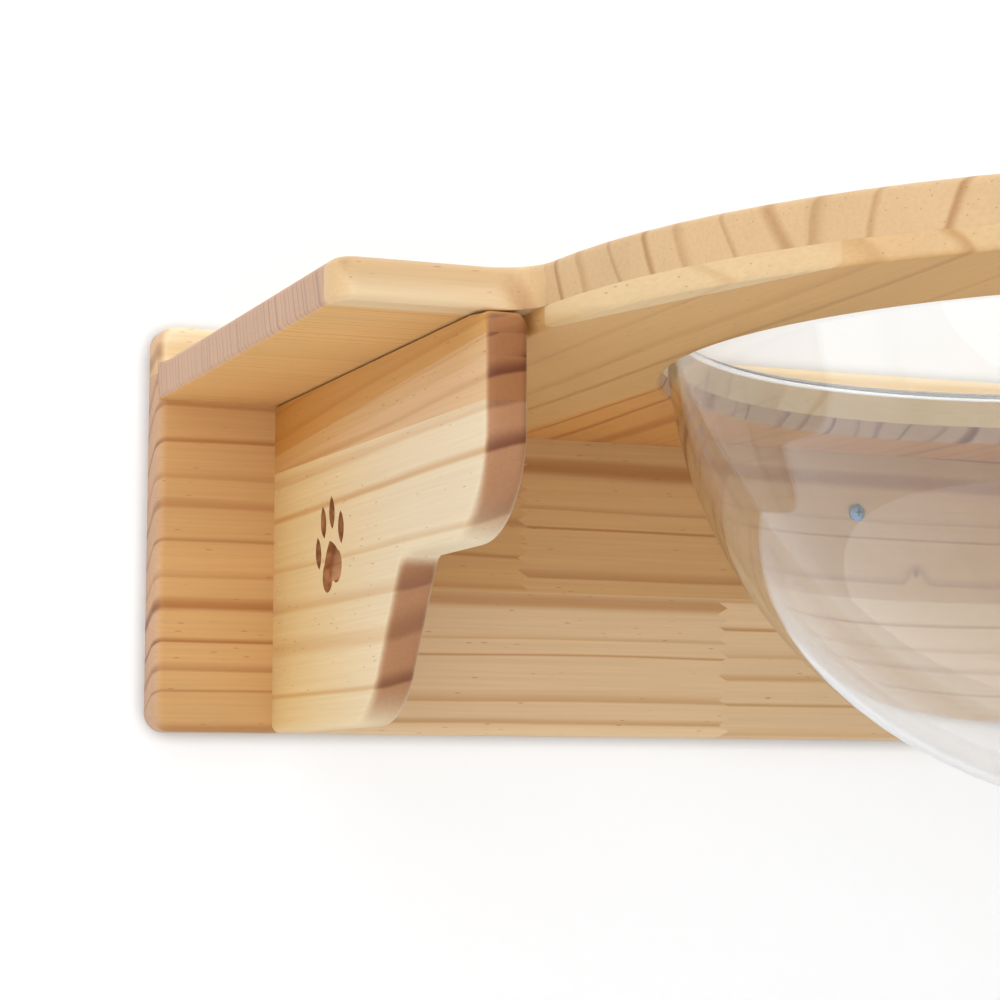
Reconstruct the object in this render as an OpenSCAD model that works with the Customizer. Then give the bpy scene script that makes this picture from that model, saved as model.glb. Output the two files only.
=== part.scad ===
// Cat wall shelf: a pine shelf with a drop-in half-round bowl, carried by a back board and two
// shaped brackets. The wall is the plane y = 0, the front looks along -y and +z is up.
// x = 0 is the middle of the shelf and z = 0 is the line of the wall screws.

/* [Boards] */
// Thickness of the shelf, the back board and the brackets
board_t = 15; // [13:1:18]
// Width of the shelf and the back board
shelf_w = 640; // [620:5:700]
// Height of the back board
back_h = 166; // [155:1:190]
// Height of the back board above the shelf's top
lip_h = 16; // [8:1:24]
// Depth of the shelf's wings in front of the back board
wing_d = 234; // [220:1:245]
// Radius of the corners of the boards
corner_r = 8; // [4:1:14]

/* [Bowl opening] */
// Diameter of the opening
hole_d = 370; // [330:5:380]
// Width of the wood between the back board and the opening
rear_web = 50; // [44:1:60]
// Width of the wood left round the opening
rim_w = 67; // [55:1:80]
// Radius where the round bulge runs into the wings
bulge_fillet_r = 16; // [8:1:24]
// Thickness of the board glued under the shelf
support_t = 7.5; // [6:0.5:10]
// Gap between that board and the brackets
support_gap = 3.5; // [2:0.5:8]

/* [Bowl] */
// Gap round the bowl in the opening, and round its rim in the seat
bowl_clearance = 2; // [0.5:0.1:3]
// Thickness of the bowl
bowl_wall = 3; // [2:0.5:5]
// Width of the seat that is cut into the shelf for the bowl's rim
rim_seat_w = 15; // [8:1:25]

/* [Brackets] */
// Distance of a bracket's outer face from the end of the shelf
bracket_inset = 50; // [45:1:70]
// Distance that a bracket stands out past the front of a wing
bracket_overhang = 8; // [0:1:12]
// Height of the upper lobe's underside above the bottom edge
lobe_h = 59; // [45:1:70]
// Radius of the upper lobe
lobe_r = 37; // [20:1:40]
// Length of the upper lobe, from the front to the waist
lobe_l = 84; // [70:0.5:95]
// Radius of the waist
waist_r = 10; // [5:1:18]
// Distance that the edge runs back from the waist to the foot, before it is rounded
foot_run = 36; // [20:0.5:50]
// Radius of the foot
foot_r = 37; // [20:1:50]

/* [Paw print] */
// Depth of the paw print cut into a bracket
paw_depth = 3; // [1:0.5:6]
// Distance of its middle in front of the back board
paw_y = 77.5; // [50:0.5:90]
// Height of its middle above the bottom edge
paw_h = 62; // [45:1:75]
// Lean of the print towards the wall, in degrees
paw_tilt = 16; // [0:1:30]
// Width of the main pad
pad_w = 24; // [16:1:26]
// Length of a toe
toe_l = 13; // [8:0.2:14]
// Width of a toe
toe_w = 6.8; // [4:0.2:7]

/* [Wall screws] */
// Distance of the wall screws below the board under the shelf
wall_screw_drop = 27.5; // [15:0.5:40]
// Distance of the outer wall screws from the brackets
wall_screw_inset = 52; // [20:1:80]
// Diameter of the plain shank inside the back board
wall_shank_d = 4.5; // [4:0.5:6]
// Diameter of the threaded end in the wall
wall_thread_d = 4; // [3:0.5:4]
// Length of the threaded end in the wall
wall_thread_l = 35; // [25:1:60]
// Diameter of the pan head
pan_d = 8; // [7:0.5:11]
// Height of the pan head
pan_h = 2.6; // [2:0.2:4]
// Gap round the shank in the back board
shank_clearance = 0.25; // [0.1:0.05:0.5]

/* [Assembly screws] */
// Diameter of the screws that hold the boards together
screw_d = 4; // [3:0.5:5]
// Length of these screws
screw_l = 45; // [35:1:55]
// Diameter of their countersunk heads
csk_d = 8; // [7:0.5:10]
// Depth of the heads below the back face
csk_sink = 0.3; // [0.1:0.1:1]
// Height of a bracket's lower screw above the bottom edge
bracket_screw_low_h = 25; // [15:1:40]
// Distance of a bracket's upper screw below the shelf
bracket_screw_high_drop = 35; // [30:1:50]
// Distance of the outer shelf screws from the middle
shelf_screw_x = 180; // [150:1:240]
// Gap round a screw in its pilot hole
pilot_clearance = 0.05; // [0.05:0.05:0.2]

/* [Dowels] */
// Diameter of the wooden dowels
dowel_d = 8; // [6:1:8]
// Length of the wooden dowels
dowel_l = 30; // [24:1:36]
// Depth of a dowel in the shelf's underside or the back board
dowel_bite = 10; // [6:0.5:10]
// Gap round a dowel in its hole
dowel_clearance = 0.1; // [0.05:0.05:0.3]
// Room left past the end of a dowel or a screw in its hole
hole_end_gap = 0.8; // [0.5:0.1:2]
// Distance of a bracket's rear dowel in front of the back board
dowel_rear_y = 50; // [46:1:70]
// Distance of a bracket's front dowel behind its front
dowel_front_inset = 57; // [23:1:78]
// Distance of the shelf's two rear dowels from the middle
shelf_dowel_x = 100; // [60:1:130]

/* [Hidden] */
$fn = 96;
large_fn = 180;
arc_step = 3;
cut = 1;
pine = [0.88, 0.73, 0.52];
pine_warm = [0.80, 0.63, 0.41];
pine_pale = [0.92, 0.80, 0.60];
beech = [0.83, 0.66, 0.45];
zinc = [0.66, 0.72, 0.78];
clear_acrylic = [0.85, 0.92, 0.95, 0.35];

// Heights
support_bottom = wall_screw_drop;
shelf_bottom = support_bottom + support_t;
shelf_middle = shelf_bottom + board_t / 2;
shelf_top = shelf_bottom + board_t;
back_top = shelf_top + lip_h;
bottom = back_top - back_h;

// Places in plan
half_w = shelf_w / 2;
back_front = -board_t;
wing_front = back_front - wing_d;
hole_r = hole_d / 2;
hole_centre = [0, back_front - rear_web - hole_r];
bulge_r = hole_r + rim_w;
bracket_out = half_w - bracket_inset;
bracket_in = bracket_out - board_t;
bracket_middle = bracket_out - board_t / 2;
support_half_w = bracket_in - support_gap;
bracket_front = wing_front - bracket_overhang;
waist_y = bracket_front + lobe_l;
foot_y = waist_y + foot_run;
wall_screw_x = bracket_in - wall_screw_inset;

// The fillet between a wing and the bulge touches the wing's front edge and the bulge's circle
fillet_y = wing_front - bulge_fillet_r;
fillet_x = -sqrt(pow(bulge_r + bulge_fillet_r, 2) - pow(hole_centre.y - fillet_y, 2));
fillet_turn = atan2(hole_centre.y - fillet_y, -fillet_x);

// Bowl
bowl_r = hole_r - bowl_clearance;
bowl_inner_r = bowl_r - bowl_wall;
bowl_rim = shelf_top;
flange_r = hole_r + rim_seat_w;
seat_r = flange_r + bowl_clearance;
seat_floor = bowl_rim - bowl_wall;

// Screw heads, their cross recess and the points
pan_dome_share = 0.75;
recess_l_share = 0.58;
recess_w_share = 0.22;
recess_d_share = 0.4;
tip_share = 1.25;
pan_dome_r = pan_d * pan_dome_share;
csk_h = (csk_d - screw_d) / 2;
recess_w = screw_d * recess_w_share;
recess_d = screw_d * recess_d_share;

// Dowels
dowel_chamfer = dowel_d / 8;

// Paw print: places and radii as shares of the main pad's width
inner_toe_at = [0.225, 0.835];
outer_toe_at = [0.6, 0.44];
toe_splay = 2;
toe_lean = 6;
pad_lobe_share = 0.2625;
pad_lobe_drop = 0.0875;
pad_base_share = 0.5;
pad_base_rise = 0.25;
crown_share = 0.99;
crown_at = [0.428, -0.46];

// Names and places of the repeated pieces
SIDES = [["left", -1], ["right", 1]];
WALL_SCREWS = [["wall_screw_left", -wall_screw_x], ["wall_screw_centre", 0],
               ["wall_screw_right", wall_screw_x]];
SHELF_SCREWS = [["shelf_screw_left", -shelf_screw_x], ["shelf_screw_centre", 0],
                ["shelf_screw_right", shelf_screw_x]];
SHELF_DOWELS = [["shelf_dowel_left", -shelf_dowel_x], ["shelf_dowel_right", shelf_dowel_x]];
BRACKET_SCREW_ROWS = [["lower", bottom + bracket_screw_low_h],
                      ["upper", shelf_bottom - bracket_screw_high_drop]];
BRACKET_SCREWS = [for (side = SIDES, row = BRACKET_SCREW_ROWS)
    [str(side[0], "_bracket_screw_", row[0]), side[1] * bracket_middle, row[1]]];
BRACKET_DOWEL_ROWS = [["rear", back_front - dowel_rear_y], ["front", bracket_front + dowel_front_inset]];
BRACKET_DOWELS = [for (side = SIDES, row = BRACKET_DOWEL_ROWS)
    [str(side[0], "_bracket_dowel_", row[0]), side[1] * bracket_middle, row[1]]];

// Outlines

function arc(centre, r, from, to) = let (n = max(2, ceil(abs(to - from) / arc_step)))
    [for (i = [0:n]) let (a = from + (to - from) * i / n) centre + r * [cos(a), sin(a)]];

function unit(v) = v / norm(v);

// The corner at p, between its neighbours a and b, as an arc of radius r
function corner(a, p, b, r) = r == 0 ? [p] :
    let (u = unit(a - p), v = unit(b - p), half = acos(u * v) / 2,
         centre = p + unit(u + v) * r / sin(half),
         first = p + u * r / tan(half) - centre,
         last = p + v * r / tan(half) - centre,
         start = atan2(first.y, first.x),
         turn = (180 - 2 * half) * sign(first.x * last.y - first.y * last.x))
    arc(centre, r, start, start + turn);

function rounded(points, radii) = let (n = len(points))
    [for (i = [0:n - 1]) each corner(points[(i + n - 1) % n], points[i], points[(i + 1) % n], radii[i])];

// A left half, from the back to the foremost point, followed by its mirror image
function both_halves(half) = concat(half,
    [for (i = [len(half) - 2:-1:0]) [-half[i].x, half[i].y]]);

back_outline = rounded(
    [[-half_w, bottom], [half_w, bottom], [half_w, back_top], [-half_w, back_top]],
    [corner_r, corner_r, corner_r, corner_r]);

shelf_outline = both_halves(concat(
    [[-half_w, back_front]],
    arc([corner_r - half_w, wing_front + corner_r], corner_r, 180, 270),
    arc([fillet_x, fillet_y], bulge_fillet_r, 90, fillet_turn),
    arc(hole_centre, bulge_r, 180 + fillet_turn, 270)));

// The straight sides run forward until they meet the bulge's circle
support_turn = acos(min(1, support_half_w / bulge_r));
support_outline = both_halves(concat(
    [[-support_half_w, back_front]],
    support_half_w > bulge_r ? [[-support_half_w, hole_centre.y]] : [],
    arc(hole_centre, bulge_r, 180 + support_turn, 270)));

// A bracket seen from the side: y is across and z is up
bracket_outline = rounded(
    [[back_front, bottom],
     [foot_y, bottom],
     [waist_y, bottom + lobe_h],
     [bracket_front, bottom + lobe_h],
     [bracket_front, shelf_bottom],
     [back_front, shelf_bottom]],
    [0, foot_r, waist_r, lobe_r, 0, 0]);

// Fasteners, drawn along +z

module cross_recess(head_d) {
    recess_l = head_d * recess_l_share;
    for (turn = [0, 90])
        rotate(turn)
            translate([-recess_l / 2, -recess_w / 2, -cut])
                cube([recess_l, recess_w, recess_d + cut]);
}

module pan_head() {
    difference() {
        intersection() {
            translate([0, 0, -pan_h])
                cylinder(d = pan_d, h = pan_h);
            translate([0, 0, pan_dome_r - pan_h])
                sphere(pan_dome_r);
        }
        translate([0, 0, -pan_h])
            cross_recess(pan_d);
    }
}

module pan_screw() {
    pan_head();
    cylinder(d = wall_shank_d, h = board_t);
    translate([0, 0, board_t])
        cylinder(d = wall_thread_d, h = wall_thread_l);
    translate([0, 0, board_t + wall_thread_l])
        cylinder(d1 = wall_thread_d, d2 = 0, h = wall_thread_d * tip_share);
}

module csk_screw() {
    difference() {
        union() {
            cylinder(d1 = csk_d, d2 = screw_d, h = csk_h);
            cylinder(d = screw_d, h = screw_l - screw_d * tip_share);
            translate([0, 0, screw_l - screw_d * tip_share])
                cylinder(d1 = screw_d, d2 = 0, h = screw_d * tip_share);
        }
        cross_recess(csk_d);
    }
}

// The room that a countersunk screw needs: loose in the back board, close in the board it bites
module csk_hole() {
    loose = screw_d + 2 * shank_clearance;
    translate([0, 0, -csk_sink - cut])
        cylinder(d = csk_d + 2 * shank_clearance, h = csk_sink + cut);
    cylinder(d1 = csk_d + 2 * shank_clearance, d2 = loose, h = csk_h);
    cylinder(d = loose, h = board_t - csk_sink);
}

module pilot_hole() {
    cylinder(d = screw_d + 2 * pilot_clearance, h = screw_l + hole_end_gap);
}

module dowel() {
    cylinder(d1 = dowel_d - 2 * dowel_chamfer, d2 = dowel_d, h = dowel_chamfer);
    translate([0, 0, dowel_chamfer])
        cylinder(d = dowel_d, h = dowel_l - 2 * dowel_chamfer);
    translate([0, 0, dowel_l - dowel_chamfer])
        cylinder(d1 = dowel_d, d2 = dowel_d - 2 * dowel_chamfer, h = dowel_chamfer);
}

module dowel_hole() {
    translate([0, 0, -hole_end_gap])
        cylinder(d = dowel_d + 2 * dowel_clearance, h = dowel_l + 2 * hole_end_gap);
}

// Places of the fasteners

module into_wall(x) {
    translate([x, back_front, 0])
        rotate([-90, 0, 0])
            children();
}

module from_behind(x, z) {
    translate([x, -csk_sink, z])
        rotate([90, 0, 0])
            children();
}

module back_dowel_place(x) {
    translate([x, back_front + dowel_bite, shelf_middle])
        rotate([90, 0, 0])
            children();
}

module top_dowel_place(x, y) {
    translate([x, y, shelf_bottom + dowel_bite - dowel_l])
        children();
}

// Paw print, drawn flat with its toes up

module toe() {
    // A leaf between two circles
    reach = (pow(toe_l / 2, 2) / (toe_w / 2) - toe_w / 2) / 2;
    intersection_for (side = [-1, 1])
        translate([side * reach, 0])
            circle(reach + toe_w / 2);
}

module paw() {
    pad_lobe_r = pad_w * pad_lobe_share;
    for (side = [-1, 1]) {
        for (place = [inner_toe_at, outer_toe_at])
            translate([side * place.x, place.y] * pad_w)
                rotate(toe_lean - side * toe_splay)
                    toe();
        translate([side * (pad_w / 2 - pad_lobe_r), -pad_w * pad_lobe_drop])
            circle(pad_lobe_r);
    }
    intersection() {
        intersection_for (side = [-1, 1])
            translate([side * crown_at.x, crown_at.y] * pad_w)
                circle(pad_w * crown_share);
        translate([0, pad_w * pad_base_rise])
            circle(pad_w * pad_base_share);
    }
}

// Sub-parts

module back_board() {
    color(pine_warm)
        difference() {
            rotate([90, 0, 0])
                linear_extrude(board_t)
                    polygon(back_outline);
            for (screw = WALL_SCREWS)
                into_wall(screw[1])
                    translate([0, 0, -cut])
                        cylinder(d = wall_shank_d + 2 * shank_clearance, h = board_t + 2 * cut);
            for (screw = BRACKET_SCREWS)
                from_behind(screw[1], screw[2])
                    csk_hole();
            for (screw = SHELF_SCREWS)
                from_behind(screw[1], shelf_middle)
                    csk_hole();
            for (peg = SHELF_DOWELS)
                back_dowel_place(peg[1])
                    dowel_hole();
        }
}

module shelf_board() {
    color(pine)
        difference() {
            translate([0, 0, shelf_bottom])
                linear_extrude(board_t)
                    polygon(shelf_outline);
            translate([hole_centre.x, hole_centre.y, shelf_bottom - cut])
                cylinder(r = hole_r, h = board_t + 2 * cut, $fn = large_fn);
            translate([hole_centre.x, hole_centre.y, seat_floor])
                cylinder(r = seat_r, h = bowl_wall + cut, $fn = large_fn);
            for (screw = SHELF_SCREWS)
                from_behind(screw[1], shelf_middle)
                    pilot_hole();
            for (peg = SHELF_DOWELS)
                back_dowel_place(peg[1])
                    dowel_hole();
            for (peg = BRACKET_DOWELS)
                top_dowel_place(peg[1], peg[2])
                    dowel_hole();
        }
}

module bowl_support_board() {
    color(pine_pale)
        difference() {
            translate([0, 0, support_bottom])
                linear_extrude(support_t)
                    polygon(support_outline);
            translate([hole_centre.x, hole_centre.y, support_bottom - cut])
                cylinder(r = hole_r, h = support_t + 2 * cut, $fn = large_fn);
        }
}

// The left bracket: the right one is its mirror image
module bracket() {
    color(pine_pale)
        difference() {
            translate([-bracket_out, 0, 0])
                rotate([90, 0, 90])
                    linear_extrude(board_t)
                        polygon(bracket_outline);
            translate([-bracket_out - cut, back_front - paw_y, bottom + paw_h])
                rotate([90, 0, 90])
                    linear_extrude(paw_depth + cut)
                        rotate(-paw_tilt)
                            paw();
            for (row = BRACKET_SCREW_ROWS)
                from_behind(-bracket_middle, row[1])
                    pilot_hole();
            for (row = BRACKET_DOWEL_ROWS)
                top_dowel_place(-bracket_middle, row[1])
                    dowel_hole();
        }
}

module left_bracket() {
    bracket();
}

module right_bracket() {
    mirror([1, 0, 0])
        bracket();
}

module bowl() {
    color(clear_acrylic)
        translate([hole_centre.x, hole_centre.y, bowl_rim])
            difference() {
                union() {
                    intersection() {
                        sphere(bowl_r, $fn = large_fn);
                        translate([0, 0, -bowl_r - cut])
                            cylinder(r = flange_r, h = bowl_r + cut);
                    }
                    translate([0, 0, -bowl_wall])
                        cylinder(r = flange_r, h = bowl_wall, $fn = large_fn);
                }
                sphere(bowl_inner_r, $fn = large_fn);
            }
}

module wall_screw(x) {
    color(zinc)
        into_wall(x)
            pan_screw();
}

module board_screw(x, z) {
    color(zinc)
        from_behind(x, z)
            csk_screw();
}

module bracket_dowel(x, y) {
    color(beech)
        top_dowel_place(x, y)
            dowel();
}

module shelf_dowel(x) {
    color(beech)
        back_dowel_place(x)
            dowel();
}

back_board();
shelf_board();
bowl_support_board();
left_bracket();
right_bracket();
bowl();
for (screw = WALL_SCREWS)
    wall_screw(screw[1]);
for (screw = BRACKET_SCREWS)
    board_screw(screw[1], screw[2]);
for (screw = SHELF_SCREWS)
    board_screw(screw[1], shelf_middle);
for (peg = BRACKET_DOWELS)
    bracket_dowel(peg[1], peg[2]);
for (peg = SHELF_DOWELS)
    shelf_dowel(peg[1]);
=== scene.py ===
# %% [markdown]
# # A wall shelf for a cat, in pine and clear acrylic
#
# The real shelf is a flat-pack piece of furniture. A back board is screwed to the wall, two shaped
# brackets and a shelf are screwed and dowelled to it, a thinner board is glued under the shelf, and a
# clear half-round bowl drops into the round opening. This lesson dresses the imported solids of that
# shelf: each piece is worked out again as a surface with rounded edges, and each material is built
# from what the real one is.
#
# The first cell loads the solids. They are the fixed frame: the sizes below are read from their boxes,
# so that a piece lands where its solid is and nothing has to be fitted by eye.

import math

import bmesh
import bpy
import numpy as np
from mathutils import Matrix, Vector


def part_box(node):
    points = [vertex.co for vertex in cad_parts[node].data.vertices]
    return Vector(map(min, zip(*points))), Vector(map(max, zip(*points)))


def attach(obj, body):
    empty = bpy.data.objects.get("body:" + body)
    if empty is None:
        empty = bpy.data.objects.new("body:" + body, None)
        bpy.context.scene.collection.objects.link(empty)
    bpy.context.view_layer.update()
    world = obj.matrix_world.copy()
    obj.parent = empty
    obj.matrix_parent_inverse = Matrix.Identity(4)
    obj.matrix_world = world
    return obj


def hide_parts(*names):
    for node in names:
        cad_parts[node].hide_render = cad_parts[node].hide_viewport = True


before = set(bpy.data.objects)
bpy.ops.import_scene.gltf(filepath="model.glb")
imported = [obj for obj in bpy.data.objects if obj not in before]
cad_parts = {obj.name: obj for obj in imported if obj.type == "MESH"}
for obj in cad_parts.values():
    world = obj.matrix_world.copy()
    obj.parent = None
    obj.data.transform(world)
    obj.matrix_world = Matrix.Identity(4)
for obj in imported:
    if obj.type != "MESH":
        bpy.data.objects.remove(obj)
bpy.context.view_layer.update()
MM = 0.001
WING_DEPTH = 234 * MM
BOWL_PLAY = 2 * MM


def span(node):
    """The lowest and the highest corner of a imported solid, as arrays in metres."""
    low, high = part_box(node)
    return np.array(low), np.array(high)


back_low, back_high = span("back_board")
shelf_low, shelf_high = span("shelf_board")
support_low, support_high = span("bowl_support_board")
bracket_low, bracket_high = span("left_bracket")
bowl_low, bowl_high = span("bowl")

BOARD = shelf_high[2] - shelf_low[2]
BACK_FRONT = back_low[1]
WING_FRONT = BACK_FRONT - WING_DEPTH
BOWL_CENTRE = np.array([*(bowl_low + bowl_high)[:2] / 2, bowl_high[2]])
BOWL_R = bowl_high[2] - bowl_low[2]
RIM_R = (bowl_high[0] - bowl_low[0]) / 2
HOLE_R = BOWL_R + BOWL_PLAY
BULGE_R = BOWL_CENTRE[1] - shelf_low[1]
print("board", round(BOARD / MM, 1), "mm, opening", round(2 * HOLE_R / MM, 1), "mm across")

# %% [markdown]
# ## Surfaces from arrays
#
# A board could start as a cube with a Bevel modifier, but its outline has arcs of several radii and only
# some of its edges are rounded. So each shape here is a grid of points: one parameter runs along an
# outline, the other runs round the edge's profile. The faces of such a grid follow from its number of
# rows and columns alone.

# %% Grids, meshes and cuts
SHARP = math.radians(38)
WELD = 0.0005 * MM


def grid_faces(rows, columns, closed_rows=False, closed_columns=False):
    """Quads between neighbouring points of a grid, running on past its end where it is closed."""
    r, c = np.meshgrid(np.arange(rows if closed_rows else rows - 1),
                       np.arange(columns if closed_columns else columns - 1), indexing="ij")
    r_next, c_next = (r + 1) % rows, (c + 1) % columns
    corners = [r * columns + c, r * columns + c_next, r_next * columns + c_next, r_next * columns + c]
    return np.stack(corners, -1).reshape(-1, 4).tolist()


def finish_mesh(mesh):
    """Closes seams and poles, turns every face outwards and smooths all but the sharp edges."""
    work = bmesh.new()
    work.from_mesh(mesh)
    bmesh.ops.remove_doubles(work, verts=work.verts, dist=WELD)
    bmesh.ops.recalc_face_normals(work, faces=work.faces)
    work.to_mesh(mesh)
    work.free()
    mesh.polygons.foreach_set("use_smooth", np.ones(len(mesh.polygons), bool))
    mesh.set_sharp_from_angle(angle=SHARP)
    mesh.update()


def make_object(name, points, faces):
    """An object at the origin, with its place in its points."""
    mesh = bpy.data.meshes.new(name)
    mesh.from_pydata(np.asarray(points).reshape(-1, 3).tolist(), [], faces)
    finish_mesh(mesh)
    made = bpy.data.objects.new(name, mesh)
    bpy.context.scene.collection.objects.link(made)
    return made


def loft(name, grid, capped=False):
    """An object from a grid whose rows are closed loops. Capped, its first and last rows are filled."""
    rows, columns = grid.shape[:2]
    ends = [list(range(columns)), list(range((rows - 1) * columns, rows * columns))] if capped else []
    return make_object(name, grid, [*grid_faces(rows, columns, closed_columns=True), *ends])


def cut_out(piece, cutters, material=None):
    """Takes each cutter out of the piece. The new faces get the material, or the piece's own."""
    for cutter in cutters:
        cutter.data.materials.append(material or piece.data.materials[0])
        boolean = piece.modifiers.new("cut", "BOOLEAN")
        boolean.operation = "DIFFERENCE"
        boolean.solver = "EXACT"
        boolean.material_mode = "TRANSFER"
        boolean.object = cutter
    graph = bpy.context.evaluated_depsgraph_get()
    cut_mesh = bpy.data.meshes.new_from_object(piece.evaluated_get(graph))
    piece.modifiers.clear()
    piece.data = cut_mesh
    finish_mesh(cut_mesh)
    for cutter in cutters:
        bpy.data.objects.remove(cutter)


# %% [markdown]
# ## Outlines with rounded corners
#
# A maker draws a board with a rule and a compass: straight lines, joined by arcs. `rounded` does the
# same with a list of corners and radii. Moving an outline inwards is what a router does when it rounds
# an edge, so `inward` finds the line that halves each corner.

# %% Paths of lines and arcs
STEP = 3 * MM
ARC_STEP = math.radians(4)


def arc(centre, radius, start, end):
    """Points on a circle from one angle to another, in degrees."""
    start, end = math.radians(start), math.radians(end)
    turn = np.linspace(start, end, max(3, math.ceil(abs(end - start) / ARC_STEP) + 1))
    return np.array(centre) + radius * np.stack([np.cos(turn), np.sin(turn)], 1)


def corner(before, point, after, radius):
    """The arc of that radius which touches both sides of a corner."""
    u = (before - point) / np.linalg.norm(before - point)
    v = (after - point) / np.linalg.norm(after - point)
    half = math.acos(u @ v) / 2
    centre = point + (u + v) / np.linalg.norm(u + v) * radius / math.sin(half)
    first = point + u * radius / math.tan(half) - centre
    last = point + v * radius / math.tan(half) - centre
    start = math.degrees(math.atan2(first[1], first[0]))
    side = math.copysign(1, first[0] * last[1] - first[1] * last[0])
    return arc(centre, radius, start, start + side * (180 - 2 * math.degrees(half)))


def fill_in(path, closed=True):
    """The same path with more points on its long straight stretches."""
    ends = np.roll(path, -1, axis=0) if closed else path[1:]
    filled = []
    for a, b in zip(path, ends):
        count = max(1, math.ceil(np.linalg.norm(b - a) / STEP))
        filled.append(a + (b - a) * np.linspace(0, 1, count, endpoint=False)[:, None])
    return np.concatenate(filled if closed else [*filled, path[-1:]])


def rounded(corners, radii, closed=True):
    """The corners in order, each replaced by its arc. A radius of 0 keeps the corner."""
    corners = np.array(corners, float)
    after = np.roll(corners, -1, axis=0)
    parts = [corner(corners[i - 1], corners[i], after[i], r) if r else corners[i:i + 1]
             for i, r in enumerate(radii)]
    return fill_in(np.concatenate(parts), closed)


def walk(path):
    """The distance along a path at each of its points."""
    return np.concatenate([[0], np.cumsum(np.linalg.norm(np.diff(path, axis=0), axis=1))])


# %% Edges of a board
FACE_ROW = 0.6 * MM


def inward(path, closed=True):
    """At each point, the vector that moves both its sides inwards by 1. The path runs anticlockwise."""
    along = np.roll(path, -1, axis=0) - path
    along /= np.linalg.norm(along, axis=1, keepdims=True)
    after = np.stack([-along[:, 1], along[:, 0]], 1)
    before = np.roll(after, 1, axis=0)
    if not closed:
        before[0] = after[0]
        after[-1] = before[-1]
    return (before + after) / (1 + np.sum(before * after, axis=1, keepdims=True))


def edge_profile(thickness, low_r, high_r, steps=7):
    """A board's edge from its lower face to its upper one: how far in and how high each row lies.
    Two quarter circles, with one more row on each face so that the faces stay flat in the light.
    A radius is one number, or one for each point of the outline."""
    turn = np.linspace(0, math.pi / 2, steps)[:, None]
    low_r, high_r = np.broadcast_arrays(np.atleast_2d(low_r), np.atleast_2d(high_r))
    inset = [low_r + FACE_ROW, low_r * (1 - np.sin(turn)), high_r * (1 - np.cos(turn)), high_r + FACE_ROW]
    height = [0 * low_r, low_r * (1 - np.cos(turn)), thickness - high_r * (1 - np.sin(turn)),
              thickness + 0 * high_r]
    return np.concatenate(inset), np.concatenate(height)


# %% [markdown]
# ## Back board
#
# A rectangle with 8 mm corners. The router has been round its front edge with a 4 mm bit, and the edge
# on the wall side is only broken. The outline is one parameter, the edge's profile is the other, and
# the two faces close the grid. The holes for the screws and dowels are drilled later.

# %% Back board
CORNER_R = 8 * MM
FRONT_ROUND = 4 * MM
BROKEN_EDGE = 0.8 * MM

back_outline = rounded([[back_low[0], back_low[2]], [back_high[0], back_low[2]],
                        [back_high[0], back_high[2]], [back_low[0], back_high[2]]], [CORNER_R] * 4)
inset, height = edge_profile(BOARD, BROKEN_EDGE, FRONT_ROUND)
back_flat = back_outline[None] + inward(back_outline)[None] * inset[:, :, None]
back_y = np.broadcast_to(back_high[1] - height, back_flat.shape[:2])
back_points = np.stack([back_flat[..., 0], back_y, back_flat[..., 1]], -1)
back_board = loft("pine_back_board", back_points, capped=True)
print(back_board.name, len(back_board.data.polygons), "faces")

# %% [markdown]
# ## Shelf and the board under it
#
# Both boards have the round opening, and the same round front. A board with a hole is a ring, and a
# ring is a closed section carried round a closed path: the section goes up the outer edge, across the
# top, down the wall of the opening and back underneath. On the shelf it takes a step on its way down:
# the seat, in which the rim of the bowl lies level with the wood. Each point of the outline has a partner
# on the opening's circle. The short front edge of a wing points straight at the opening's middle, so the
# partners can't simply lie on the way there: they would cross. Instead a few points of the outline are
# given the angles of their partners, and the others follow by their distance along the path.
#
# The rounding changes along the edge. It is full on the wings, and it ends where the shelf meets the
# back board or lies on the board below.

# %% A board with a round opening
GLUED = 0.05 * MM
WALL_FADE = 12 * MM


def ramp(value, start, end):
    """0 before start, 1 after end, and smooth between them."""
    t = np.clip((value - start) / (end - start), 0, 1)
    return t * t * (3 - 2 * t)


def hole_section(radius, low, high, low_r, high_r):
    """The wall of a round opening from its upper edge down, as radius and height."""
    inset, height = edge_profile(high - low, low_r, high_r)
    return np.concatenate([radius + inset, low + height], axis=1)[::-1]


def partners(outline, keys):
    """Angles on the opening for the points of an outline. A key is a distance along the left half
    and its angle in degrees. The front lies at 270, and the right half is the mirror image."""
    walked = walk(outline)
    front = walked[np.argmin(outline[:, 1])]
    right = [(2 * front - place, 540 - angle) for place, angle in keys[::-1]]
    rear = (2 * front + outline[:, 0].max() * 2, keys[0][1] + 360)
    places, angles = np.transpose([*keys, (front, 270), *right, rear])
    return np.radians(np.interp(walked, places, angles))


def ring_board(name, outline, keys, low, high, outer_radii, hole):
    """A board between an outline and the opening, as a closed section carried round both."""
    centre = BOWL_CENTRE[:2]
    partner = partners(outline, keys)
    spoke = np.stack([np.cos(partner), np.sin(partner)], 1)
    inset, height = edge_profile(high - low, *outer_radii)
    outer = outline[None] + inward(outline)[None] * inset[:, :, None]
    inner = centre + spoke[None] * hole[:, 0, None, None]
    heights = [np.broadcast_to(h, (len(h), len(outline))) for h in (low + height, hole[:, 1:])]
    points = np.dstack([np.concatenate([outer, inner]), np.concatenate(heights)])
    print(name, "least step round the opening", round(math.degrees(np.diff(partner).min()), 3), "degrees")
    return make_object(name, points, grid_faces(len(points), len(outline), True, True))


def both_halves(half):
    """The left half of an outline and its mirror image, with points on the straight stretches."""
    return fill_in(np.concatenate([half, half[-2::-1] * [-1, 1]]))


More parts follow.
